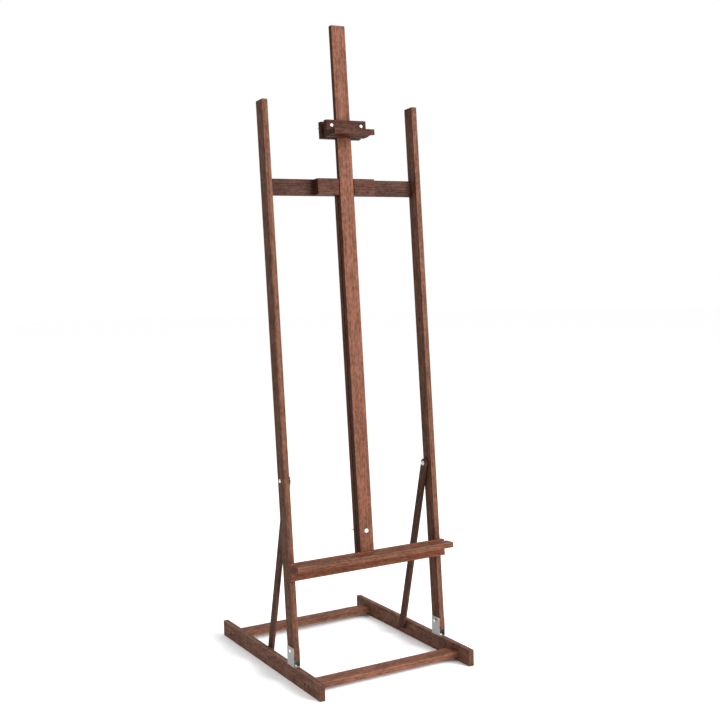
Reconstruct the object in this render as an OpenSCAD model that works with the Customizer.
// Wooden artist's easel: a floor base, a standing frame that leans back on two struts,
// a sliding mast that carries the canvas tray, and a clamp that slides on the mast.
// Origin: floor level, middle of the base. +X right, +Y back, +Z up.

/* [Base] */
// Width of the base over its two runners
base_w = 600; // [560:5:660]
// Length of each runner, front to back
base_l = 790; // [760:10:860]
// Thickness of the boards
board_t = 19; // [18:0.5:20]
// Width of the runners, cross bars and tray boards
board_w = 57; // [55:1:60]
// Distance of the front cross bar's middle from the middle of the base
front_bar_y = 300; // [290:5:330]
// Distance of the rear cross bar's middle from the middle of the base
rear_bar_y = 312; // [290:2:330]
// Height of the cross bars' undersides above the floor
cross_bar_z = 14.5; // [10:0.5:20]

/* [Standing frame] */
// Backward lean of the frame from upright, in degrees
lean = 3.8; // [2:0.2:5]
// Height of the frame's pivot above the runners
pivot_h = 52; // [48:1:56]
// Distance of the frame's pivot in front of the middle of the base
pivot_y = 189.5; // [180:0.5:200]
// Length of each upright below its pivot
upright_foot = 27; // [24:1:30]
// Length of each upright above its pivot
upright_rise = 1836; // [1700:10:1950]
// Thickness of the uprights, side to side
upright_t = 20; // [19:0.5:22]
// Depth of the uprights, front to back
upright_d = 50; // [45:1:55]
// Width of the crossbars
rail_w = 55; // [50:1:57]
// Width of the rear rail
rear_rail_w = 45; // [42:1:55]
// Height of the lower crossbar's underside along the frame
lower_bar_s = 281; // [276:1:300]
// Height of the upper crossbar's underside along the frame
upper_bar_s = 1577; // [1500:5:1620]
// Width of the guide block on the upper crossbar
guide_w = 222; // [200:2:260]

/* [Struts] */
// Height of the struts' upper bolts along the frame
strut_top_s = 623; // [560:5:680]
// Distance of the struts' upper bolts behind the frame's front
strut_top_q = 33; // [25:1:33]
// Distance of the struts' feet behind the middle of the base
strut_foot_y = 31; // [10:1:60]
// Height of the struts' feet above the floor
strut_foot_z = 36; // [32:1:40]
// Width of a strut
strut_w = 32; // [28:1:34]
// Thickness of a strut
strut_t = 10; // [8:0.5:10]

/* [Mast and tray] */
// Height of the mast's top along the frame
mast_top_s = 2153; // [2050:5:2250]
// Height of the mast's lower end along the frame
mast_foot_s = 300; // [297:1:306]
// Width of the mast
mast_w = 55; // [50:1:57]
// Height of the mast's locking bolt along the frame
lock_s = 419; // [410:1:440]
// How far the mast can be raised
mast_travel = 650; // [400:10:800]
// Width of the tray
tray_w = 612; // [580:2:660]
// Height of the tray's underside along the frame
tray_s = 294; // [290:1:298]

/* [Canvas clamp] */
// Width of the clamp
clamp_w = 154; // [140:2:170]
// Height of the clamp's underside along the frame
clamp_s = 1770; // [1760:5:1900]
// Distance between the clamp's two bolts
clamp_bolt_gap = 114; // [104:2:116]
// Height of the clamp's bolts above its underside
clamp_bolt_rise = 38; // [34:1:42]

/* [Hidden] */
$fn = 48;

// Clearances: side play of turning and sliding wood, room beside the mast in its guide,
// running play of a pin, room round a screw
play = 0.3;
slide_play = 0.4;
guide_play = 2;
slot_play = 0.5;
pin_play = 0.08;
screw_play = 0.05;
over = 1;

// Hardware sizes
plate_t = 2;
bracket_l = 48;
bracket_plate_h = 66.5;
bracket_corner_r = 5;
pivot_r = 3;
strut_bolt_r = 3;
lock_bolt_r = 4;
clamp_bolt_r = 3;
dome_r = 6.5;
dome_h = 3.4;
lock_dome_r = 8.5;
lock_dome_h = 4;
screw_r = 2;
screw_head_r = 4;
screw_head_h = 2.4;
screw_tip = 5;
screw_point_r = 0.4;
nut_h = 5;
pivot_nut_across = 11;
strut_nut_across = 10;
thread_past_nut = 1;
strut_washer_r = 8;
strut_nut_washer_t = 1.2;
lock_washer_r = 12;
lock_washer_t = 2;
clamp_washer_r = 9;
clamp_washer_t = 1.6;
dowel_r = 4;
dowel_gap = 25;
dowel_l = 40;
dowel_in_upright = 14;

// Base
runner_mid = (base_w - board_t) / 2;
runner_in = base_w / 2 - board_t;
bar_mid_z = cross_bar_z + board_t / 2;
bar_screw_gap = 25;
bar_screw_l = 60;
bar_screw_sink = 4;
bar_screw_hole_r = 4.8;
bracket_screw_gap = 28;
bracket_screw_l = 25;

// Standing frame: its own axes are X, q (back from its front face) and s (up along it),
// measured from the line where the front face meets the level of the runners' tops
pivot_z = board_w + pivot_h;
pivot_q = upright_d / 2;
pivot_s = (pivot_h + pivot_q * sin(lean)) / cos(lean);
frame_y = -pivot_y - pivot_s * sin(lean) - pivot_q * cos(lean);
upright_in = runner_mid - upright_t / 2;
upright_out = runner_mid + upright_t / 2;
rail_back = upright_d;
rail_front = upright_d - board_t;
rail_mid = upright_d - board_t / 2;
rail_foot = lower_bar_s + rail_w;

// Mast: one millimetre proud of the frame's front
mast_proud = 1;
mast_front = -mast_proud;
mast_back = board_t - mast_proud;
notch_w = mast_w + 2 * guide_play;
slot_r = lock_bolt_r + slot_play;
spacer_w = 42;
spacer_h = 60;
lock_bolt_past_rail = 18;
guide_screw_x = [45, 95];
guide_screw_l = 36;

// Struts
strut_bolt_washer_t = 2;
strut_out = upright_in - strut_bolt_washer_t - play;
strut_in = strut_out - strut_t;
strut_nut_seat = strut_in - play - strut_nut_washer_t;
strut_top = [frame_y + strut_top_s * sin(lean) + strut_top_q * cos(lean),
             board_w + strut_top_s * cos(lean) - strut_top_q * sin(lean)];
strut_foot = [strut_foot_y, strut_foot_z];
strut_l = norm(strut_foot - strut_top);
strut_angle = atan2(strut_foot[0] - strut_top[0], strut_top[1] - strut_foot[1]);
foot_washer_t = 1.5;
foot_bolt_gap = 0.4;
foot_bolt_end = upright_in - foot_bolt_gap;
foot_head_r = 6;
foot_head_h = 3;
foot_hole_depth = 13;

// Tray
apron_back = mast_front;
apron_front = apron_back - board_t;
shelf_front = apron_front - board_w;
shelf_rise = 35;
shelf_s = tray_s + shelf_rise;
groove_w = 13;
groove_depth = 3.5;
tray_screw_x = [90, 250];
tray_screw_l = 45;
fixing_screw_gap = 26;
fixing_screw_l = 33;

// Canvas clamp
clamp_mid = mast_front - slide_play;
clamp_front = clamp_mid - board_t;
clamp_rear_front = mast_back + slide_play;
clamp_back = clamp_rear_front + board_t;
clamp_top_s = clamp_s + board_w;
clamp_bolt_s = clamp_s + clamp_bolt_rise;
lip_nose = clamp_front - board_w;
lip_hollow = 3;
lip_hollow_w = 42;
lip_hollow_r = (pow(lip_hollow_w / 2, 2) + pow(lip_hollow, 2)) / (2 * lip_hollow);
lip_screw_x = 42;
clamp_bolt_past_plate = 14;
lip_screw_l = 45;

// Wing nuts: hub and reach of the ears
wing_t = 2.6;
hub_h = 9;
lock_hub_r = 8;
lock_reach = 24;
clamp_hub_r = 6.5;
clamp_reach = 18;

// ---- placing ----

// A block between two opposite corners
module block(low, high) {
    translate(low) cube(high - low);
}

// The standing frame's own axes: X, q as Y, s as Z
module in_frame() {
    translate([0, frame_y, board_w]) rotate([-lean, 0, 0]) children();
}

// Turns +Z to point back, forward or right
module facing_back() {
    rotate([-90, 0, 0]) children();
}

module facing_front() {
    rotate([90, 0, 0]) children();
}

module facing_right() {
    rotate([0, 90, 0]) children();
}

// A piece drawn on the right, kept there or mirrored to the left
module on_side(side) {
    if (side == "left") mirror([1, 0, 0]) children();
    else children();
}

module both_sides() {
    children();
    mirror([1, 0, 0]) children();
}

// ---- hardware shapes: the axis is Z, the seat is at z = 0 and the shank points down ----

module dome(r, h) {
    ball_r = (r * r + h * h) / (2 * h);
    intersection() {
        translate([0, 0, h - ball_r]) sphere(ball_r, $fn = 64);
        cylinder(r = r, h = h);
    }
}

module dome_bolt(r, l, head_r, head_h) {
    dome(head_r, head_h);
    translate([0, 0, -l]) cylinder(r = r, h = l);
}

module wood_screw(l, grow = 0) {
    translate([0, 0, -screw_head_h])
        cylinder(r1 = screw_r + grow, r2 = screw_head_r + grow, h = screw_head_h);
    translate([0, 0, screw_tip - l])
        cylinder(r = screw_r + grow, h = l - screw_tip - screw_head_h);
    translate([0, 0, -l])
        cylinder(r1 = screw_point_r + grow, r2 = screw_r + grow, h = screw_tip);
}

// The room that a countersunk wood screw takes out of the boards
module screw_room(l) {
    wood_screw(l, screw_play);
    cylinder(r = screw_head_r + screw_play, h = over);
}

module hex_nut(r, across) {
    difference() {
        cylinder(d = across / cos(30), h = nut_h, $fn = 6);
        translate([0, 0, -over]) cylinder(r = r + screw_play, h = nut_h + 2 * over);
    }
}

module washer(r, outer_r, h) {
    difference() {
        cylinder(r = outer_r, h = h);
        translate([0, 0, -over]) cylinder(r = r + screw_play, h = h + 2 * over);
    }
}

// One ear: a round tip on a web that springs from the hub's side
module wing_ear(hub_r, reach) {
    tip_r = 0.3 * reach;
    root_x = 0.4 * hub_r;
    web = [
        [root_x, 1],
        [1.1 * hub_r, 1],
        [reach - 0.2 * tip_r, hub_h - 0.5 * tip_r],
        [reach - 1.7 * tip_r, hub_h + tip_r],
        [root_x, 0.8 * hub_h]
    ];
    rotate([90, 0, 0]) translate([0, 0, -wing_t / 2]) linear_extrude(wing_t) {
        translate([reach - tip_r, hub_h + 0.4 * tip_r]) circle(tip_r);
        polygon(web);
    }
}

module wing_nut(r, hub_r, reach) {
    difference() {
        union() {
            cylinder(r1 = hub_r, r2 = 0.8 * hub_r, h = hub_h);
            wing_ear(hub_r, reach);
            rotate([0, 0, 180]) wing_ear(hub_r, reach);
        }
        translate([0, 0, -over]) cylinder(r = r + pin_play, h = hub_h + 4 * over);
    }
}

// ---- base ----

module at_bar_screws(bar_y) {
    for (dy = [-bar_screw_gap / 2, bar_screw_gap / 2]) {
        translate([base_w / 2 - bar_screw_sink, bar_y + dy, bar_mid_z]) facing_right() children();
    }
}

module at_bracket_screws() {
    for (dy = [-bracket_screw_gap / 2, bracket_screw_gap / 2]) {
        translate([runner_mid, dy - pivot_y, board_w + plate_t]) children();
    }
}

module at_pivot() {
    translate([0, -pivot_y, pivot_z]) facing_right() children();
}

module at_strut_foot() {
    translate([0, strut_foot_y, strut_foot_z]) facing_right() children();
}

module runner(side) {
    on_side(side) difference() {
        block([runner_in, -base_l / 2, 0], [base_w / 2, base_l / 2, board_w]);
        for (bar_y = [-front_bar_y, rear_bar_y]) {
            at_bar_screws(bar_y) {
                screw_room(bar_screw_l);
                cylinder(r = bar_screw_hole_r, h = bar_screw_sink + over);
            }
        }
        at_bracket_screws() translate([0, 0, -bracket_screw_l - over])
            cylinder(r = screw_r + screw_play, h = bracket_screw_l + 2 * over);
        at_strut_foot() translate([0, 0, runner_in - over])
            cylinder(r = strut_bolt_r + screw_play, h = foot_hole_depth + over);
    }
}

module left_runner() {
    color("#6b4230") runner("left");
}

module right_runner() {
    color("#6b4230") runner("right");
}

module cross_bar(bar_y) {
    difference() {
        block([-runner_in, bar_y - board_w / 2, cross_bar_z],
              [runner_in, bar_y + board_w / 2, cross_bar_z + board_t]);
        both_sides() at_bar_screws(bar_y) screw_room(bar_screw_l);
    }
}

module front_cross_bar() {
    color("#7a4a37") cross_bar(-front_bar_y);
}

module rear_cross_bar() {
    color("#7a4a37") cross_bar(rear_bar_y);
}

module cross_bar_screws() {
    color("#3a3632") both_sides() for (bar_y = [-front_bar_y, rear_bar_y]) {
        at_bar_screws(bar_y) wood_screw(bar_screw_l);
    }
}

// A U of bent plate: a floor screwed to the runner and two cheeks for the pivot bolt
module bracket(side) {
    cheek_in = upright_in - play;
    cheek_out = upright_out + play;
    low_y = -pivot_y - bracket_l / 2;
    high_y = -pivot_y + bracket_l / 2;
    cheek_top = board_w + bracket_plate_h;
    color("#c9cccf") on_side(side) difference() {
        union() {
            block([cheek_in - plate_t, low_y, board_w],
                  [cheek_out + plate_t, high_y, board_w + plate_t]);
            for (x = [cheek_in - plate_t, cheek_out]) {
                block([x, low_y, board_w], [x + plate_t, high_y, cheek_top - bracket_corner_r]);
                block([x, low_y + bracket_corner_r, board_w],
                      [x + plate_t, high_y - bracket_corner_r, cheek_top]);
                for (y = [low_y + bracket_corner_r, high_y - bracket_corner_r]) {
                    translate([x, y, cheek_top - bracket_corner_r]) facing_right()
                        cylinder(r = bracket_corner_r, h = plate_t);
                }
            }
        }
        at_pivot() cylinder(r = pivot_r + screw_play, h = base_w);
        at_bracket_screws() translate([0, 0, -over - plate_t])
            cylinder(r = screw_r + screw_play, h = plate_t + 2 * over);
    }
}

module left_bracket() {
    bracket("left");
}

module right_bracket() {
    bracket("right");
}

module bracket_screws() {
    color("#b9bcc0") both_sides() at_bracket_screws() {
        dome(screw_head_r, screw_head_h);
        translate([0, 0, -bracket_screw_l]) cylinder(r = screw_r, h = bracket_screw_l);
    }
}

module pivot_bolt(side) {
    seat = upright_out + play + plate_t;
    tail = upright_in - play - plate_t - nut_h - thread_past_nut;
    color("#d4d6d8") on_side(side) at_pivot() translate([0, 0, seat])
        dome_bolt(pivot_r, seat - tail, dome_r, dome_h);
}

module left_pivot_bolt() {
    pivot_bolt("left");
}

module right_pivot_bolt() {
    pivot_bolt("right");
}

module pivot_nuts() {
    color("#d4d6d8") both_sides() at_pivot()
        translate([0, 0, upright_in - play - plate_t - nut_h]) hex_nut(pivot_r, pivot_nut_across);
}

// ---- standing frame ----

module at_strut_top() {
    translate([0, strut_top[0], strut_top[1]]) facing_right() children();
}

module at_bar_dowels(bar_s) {
    for (ds = [-dowel_gap / 2, dowel_gap / 2]) {
        translate([upright_in + dowel_in_upright - dowel_l, rail_mid, bar_s + rail_w / 2 + ds])
            facing_right() children();
    }
}

module at_rail_dowels() {
    for (s = [rail_foot, upper_bar_s], x = [-dowel_gap / 2, dowel_gap / 2]) {
        translate([x, rail_mid, s - dowel_l / 2]) children();
    }
}

module dowel_room() {
    cylinder(r = dowel_r + screw_play, h = dowel_l + screw_play);
}

module at_guide_screws() {
    for (x = guide_screw_x) {
        translate([x, rail_back, upper_bar_s + rail_w / 2]) facing_back() children();
    }
}

module upright(side) {
    color("#5c3a2c") on_side(side) difference() {
        in_frame() difference() {
            block([upright_in, 0, pivot_s - upright_foot],
                  [upright_out, upright_d, pivot_s + upright_rise]);
            at_bar_dowels(lower_bar_s) dowel_room();
            at_bar_dowels(upper_bar_s) dowel_room();
        }
        at_pivot() cylinder(r = pivot_r + pin_play, h = base_w);
        at_strut_top() cylinder(r = strut_bolt_r + screw_play, h = base_w);
    }
}

module left_upright() {
    upright("left");
}

module right_upright() {
    upright("right");
}

module upper_crossbar() {
    color("#6f4431") in_frame() difference() {
        block([-upright_in, rail_front, upper_bar_s],
              [upright_in, rail_back, upper_bar_s + rail_w]);
        both_sides() at_bar_dowels(upper_bar_s) dowel_room();
        both_sides() at_guide_screws() screw_room(guide_screw_l);
        at_rail_dowels() dowel_room();
    }
}

module lower_crossbar() {
    color("#6f4431") in_frame() difference() {
        block([-upright_in, rail_front, lower_bar_s],
              [upright_in, rail_back, lower_bar_s + rail_w]);
        both_sides() at_bar_dowels(lower_bar_s) dowel_room();
        at_rail_dowels() dowel_room();
    }
}

// The board behind the mast; the mast's bolt runs in its slot
module rear_rail() {
    color("#5a3728") in_frame() difference() {
        block([-rear_rail_w / 2, rail_front, rail_foot], [rear_rail_w / 2, rail_back, upper_bar_s]);
        for (s = [lock_s, lock_s + mast_travel]) {
            translate([0, rail_front - over, s])
                facing_back() cylinder(r = slot_r, h = board_t + 2 * over);
        }
        block([-slot_r, rail_front - over, lock_s],
              [slot_r, rail_back + over, lock_s + mast_travel]);
        at_rail_dowels() dowel_room();
    }
}

module frame_dowels() {
    color("#b08a60") in_frame() {
        both_sides() for (s = [lower_bar_s, upper_bar_s]) {
            at_bar_dowels(s) cylinder(r = dowel_r, h = dowel_l);
        }
        at_rail_dowels() cylinder(r = dowel_r, h = dowel_l);
    }
}

// The block that the mast slides in
module guide_block() {
    color("#7b4a35") in_frame() difference() {
        block([-guide_w / 2, 0, upper_bar_s], [guide_w / 2, rail_front, upper_bar_s + rail_w]);
        block([-notch_w / 2, -over, upper_bar_s - over],
              [notch_w / 2, mast_back + slide_play, upper_bar_s + rail_w + over]);
        both_sides() at_guide_screws() screw_room(guide_screw_l);
    }
}

module guide_block_screws() {
    color("#8d8f92") in_frame() both_sides() at_guide_screws() wood_screw(guide_screw_l);
}

module strut_bolt(side) {
    color("#d4d6d8") on_side(side) at_strut_top() translate([0, 0, upright_out])
        dome_bolt(strut_bolt_r, upright_out - strut_nut_seat + nut_h + thread_past_nut,
                  dome_r, dome_h);
}

module left_strut_bolt() {
    strut_bolt("left");
}

module right_strut_bolt() {
    strut_bolt("right");
}

module strut_bolt_washers() {
    color("#b9bcc0") both_sides() at_strut_top() {
        translate([0, 0, upright_in - strut_bolt_washer_t])
            washer(strut_bolt_r, strut_washer_r, strut_bolt_washer_t);
        translate([0, 0, strut_nut_seat]) washer(strut_bolt_r, strut_washer_r, strut_nut_washer_t);
    }
}

module strut_bolt_nuts() {
    color("#d4d6d8") both_sides() at_strut_top() translate([0, 0, strut_nut_seat - nut_h])
        hex_nut(strut_bolt_r, strut_nut_across);
}

// ---- struts ----

module strut(side) {
    color("#5c3a2c") on_side(side) translate([strut_in, strut_top[0], strut_top[1]])
    rotate([strut_angle, 0, 0]) difference() {
        union() {
            block([0, -strut_w / 2, -strut_l], [strut_t, strut_w / 2, 0]);
            for (z = [0, -strut_l]) {
                translate([0, 0, z]) facing_right() cylinder(r = strut_w / 2, h = strut_t);
            }
        }
        translate([-over, 0, 0])
            facing_right() cylinder(r = strut_bolt_r + pin_play, h = strut_t + 2 * over);
        translate([-over, 0, -strut_l]) facing_right() {
            cylinder(r = strut_bolt_r + screw_play, h = strut_t + 2 * over);
            cylinder(r = foot_head_r + screw_play, h = foot_head_h + over);
        }
    }
}

module left_strut() {
    strut("left");
}

module right_strut() {
    strut("right");
}

// A flush bolt for the runner's hole; it is drawn backed out, just short of the runner
module strut_foot_bolt(side) {
    color("#4a4644") on_side(side) at_strut_foot() {
        translate([0, 0, strut_in]) cylinder(r = foot_head_r, h = foot_head_h);
        translate([0, 0, strut_in]) cylinder(r = strut_bolt_r, h = foot_bolt_end - strut_in);
    }
}

module left_strut_foot_bolt() {
    strut_foot_bolt("left");
}

module right_strut_foot_bolt() {
    strut_foot_bolt("right");
}

module strut_foot_washer(side) {
    color("#4a4644") on_side(side) at_strut_foot() translate([0, 0, strut_out])
        washer(strut_bolt_r, strut_washer_r, foot_washer_t);
}

module left_strut_foot_washer() {
    strut_foot_washer("left");
}

module right_strut_foot_washer() {
    strut_foot_washer("right");
}

// ---- mast and tray ----

module at_lock() {
    translate([0, mast_front, lock_s]) facing_front() children();
}

module at_fixing_screws() {
    for (x = [-fixing_screw_gap / 2, fixing_screw_gap / 2]) {
        translate([x, mast_back, tray_s + board_w / 2]) facing_back() children();
    }
}

module at_tray_screws() {
    for (x = tray_screw_x) {
        translate([x, apron_back, shelf_s + board_t / 2]) facing_back() children();
    }
}

module mast() {
    color("#7d4d39") in_frame() difference() {
        block([-mast_w / 2, mast_front, mast_foot_s], [mast_w / 2, mast_back, mast_top_s]);
        at_lock() translate([0, 0, -board_t - over])
            cylinder(r = lock_bolt_r + screw_play, h = board_t + 2 * over);
        at_fixing_screws() screw_room(fixing_screw_l);
    }
}

module mast_fixing_screws() {
    color("#8d8f92") in_frame() at_fixing_screws() wood_screw(fixing_screw_l);
}

module mast_spacer() {
    color("#5a3728") in_frame() difference() {
        block([-spacer_w / 2, mast_back, lock_s - spacer_h / 2],
              [spacer_w / 2, rail_front - slide_play, lock_s + spacer_h / 2]);
        at_lock() translate([0, 0, -upright_d]) cylinder(r = lock_bolt_r + screw_play, h = upright_d);
    }
}

module mast_bolt() {
    color("#d4d6d8") in_frame() at_lock()
        dome_bolt(lock_bolt_r, rail_back - mast_front + lock_bolt_past_rail,
                  lock_dome_r, lock_dome_h);
}

module mast_washer() {
    color("#b9bcc0") in_frame() translate([0, rail_back + slide_play, lock_s]) facing_back()
        washer(lock_bolt_r, lock_washer_r, lock_washer_t);
}

module mast_wing_nut() {
    color("#c9cccf") in_frame()
        translate([0, rail_back + slide_play + lock_washer_t + play, lock_s])
            facing_back() wing_nut(lock_bolt_r, lock_hub_r, lock_reach);
}

module tray_apron() {
    color("#83502f") in_frame() difference() {
        block([-tray_w / 2, apron_front, tray_s], [tray_w / 2, apron_back, tray_s + board_w]);
        both_sides() at_tray_screws() screw_room(tray_screw_l);
        at_fixing_screws() screw_room(fixing_screw_l);
    }
}

// The shelf that a canvas stands on, with a shallow groove along its back
module tray_shelf() {
    color("#7b5040") in_frame() difference() {
        block([-tray_w / 2, shelf_front, shelf_s], [tray_w / 2, apron_front, shelf_s + board_t]);
        block([-tray_w / 2 - over, apron_front - groove_w, shelf_s + board_t - groove_depth],
              [tray_w / 2 + over, apron_front + over, shelf_s + board_t + over]);
        both_sides() at_tray_screws() screw_room(tray_screw_l);
    }
}

module tray_screws() {
    color("#8d8f92") in_frame() both_sides() at_tray_screws() wood_screw(tray_screw_l);
}

// ---- canvas clamp ----

module at_clamp_bolts() {
    for (x = [-clamp_bolt_gap / 2, clamp_bolt_gap / 2]) {
        translate([x, clamp_front, clamp_bolt_s]) facing_front() children();
    }
}

module clamp_bolt_room() {
    at_clamp_bolts() translate([0, 0, -2 * board_w])
        cylinder(r = clamp_bolt_r + screw_play, h = 2 * board_w + over);
}

module at_lip_screws() {
    for (x = [-lip_screw_x, lip_screw_x]) {
        translate([x, clamp_mid, clamp_s + (board_t + lip_hollow) / 2]) facing_back() children();
    }
}

// Two plates squeeze the mast between them
module clamp_front_plate() {
    color("#6f4431") in_frame() difference() {
        block([-clamp_w / 2, clamp_front, clamp_s], [clamp_w / 2, clamp_mid, clamp_top_s]);
        clamp_bolt_room();
        at_lip_screws() screw_room(lip_screw_l);
    }
}

module clamp_rear_plate() {
    color("#5c3a2c") in_frame() difference() {
        block([-clamp_w / 2, clamp_rear_front, clamp_s], [clamp_w / 2, clamp_back, clamp_top_s]);
        clamp_bolt_room();
    }
}

// The lip that holds the top edge of a canvas, hollowed along its underside
module clamp_lip() {
    color("#6f4431") in_frame() difference() {
        block([-clamp_w / 2, lip_nose, clamp_s], [clamp_w / 2, clamp_front, clamp_s + board_t]);
        translate([-clamp_w / 2 - over, (lip_nose + clamp_front) / 2,
                   clamp_s + lip_hollow - lip_hollow_r])
            facing_right() cylinder(r = lip_hollow_r, h = clamp_w + 2 * over, $fn = 96);
        at_lip_screws() screw_room(lip_screw_l);
    }
}

module clamp_lip_screws() {
    color("#8d8f92") in_frame() at_lip_screws() wood_screw(lip_screw_l);
}

module clamp_bolts() {
    color("#d4d6d8") in_frame() at_clamp_bolts()
        dome_bolt(clamp_bolt_r, clamp_back - clamp_front + clamp_bolt_past_plate, dome_r, dome_h);
}

module clamp_washers() {
    color("#b9bcc0") in_frame() both_sides()
        translate([clamp_bolt_gap / 2, clamp_back, clamp_bolt_s])
            facing_back() washer(clamp_bolt_r, clamp_washer_r, clamp_washer_t);
}

module clamp_wing_nut(side) {
    color("#c9cccf") in_frame() on_side(side)
        translate([clamp_bolt_gap / 2, clamp_back + clamp_washer_t + play, clamp_bolt_s])
            facing_back() wing_nut(clamp_bolt_r, clamp_hub_r, clamp_reach);
}

module left_clamp_wing_nut() {
    clamp_wing_nut("left");
}

module right_clamp_wing_nut() {
    clamp_wing_nut("right");
}

left_runner();
right_runner();
front_cross_bar();
rear_cross_bar();
cross_bar_screws();
left_bracket();
right_bracket();
bracket_screws();
left_pivot_bolt();
right_pivot_bolt();
pivot_nuts();
left_upright();
right_upright();
upper_crossbar();
lower_crossbar();
rear_rail();
frame_dowels();
guide_block();
guide_block_screws();
left_strut_bolt();
right_strut_bolt();
strut_bolt_washers();
strut_bolt_nuts();
left_strut();
right_strut();
left_strut_foot_bolt();
right_strut_foot_bolt();
left_strut_foot_washer();
right_strut_foot_washer();
mast();
mast_fixing_screws();
mast_spacer();
mast_bolt();
mast_washer();
mast_wing_nut();
tray_apron();
tray_shelf();
tray_screws();
clamp_front_plate();
clamp_rear_plate();
clamp_lip();
clamp_lip_screws();
clamp_bolts();
clamp_washers();
left_clamp_wing_nut();
right_clamp_wing_nut();
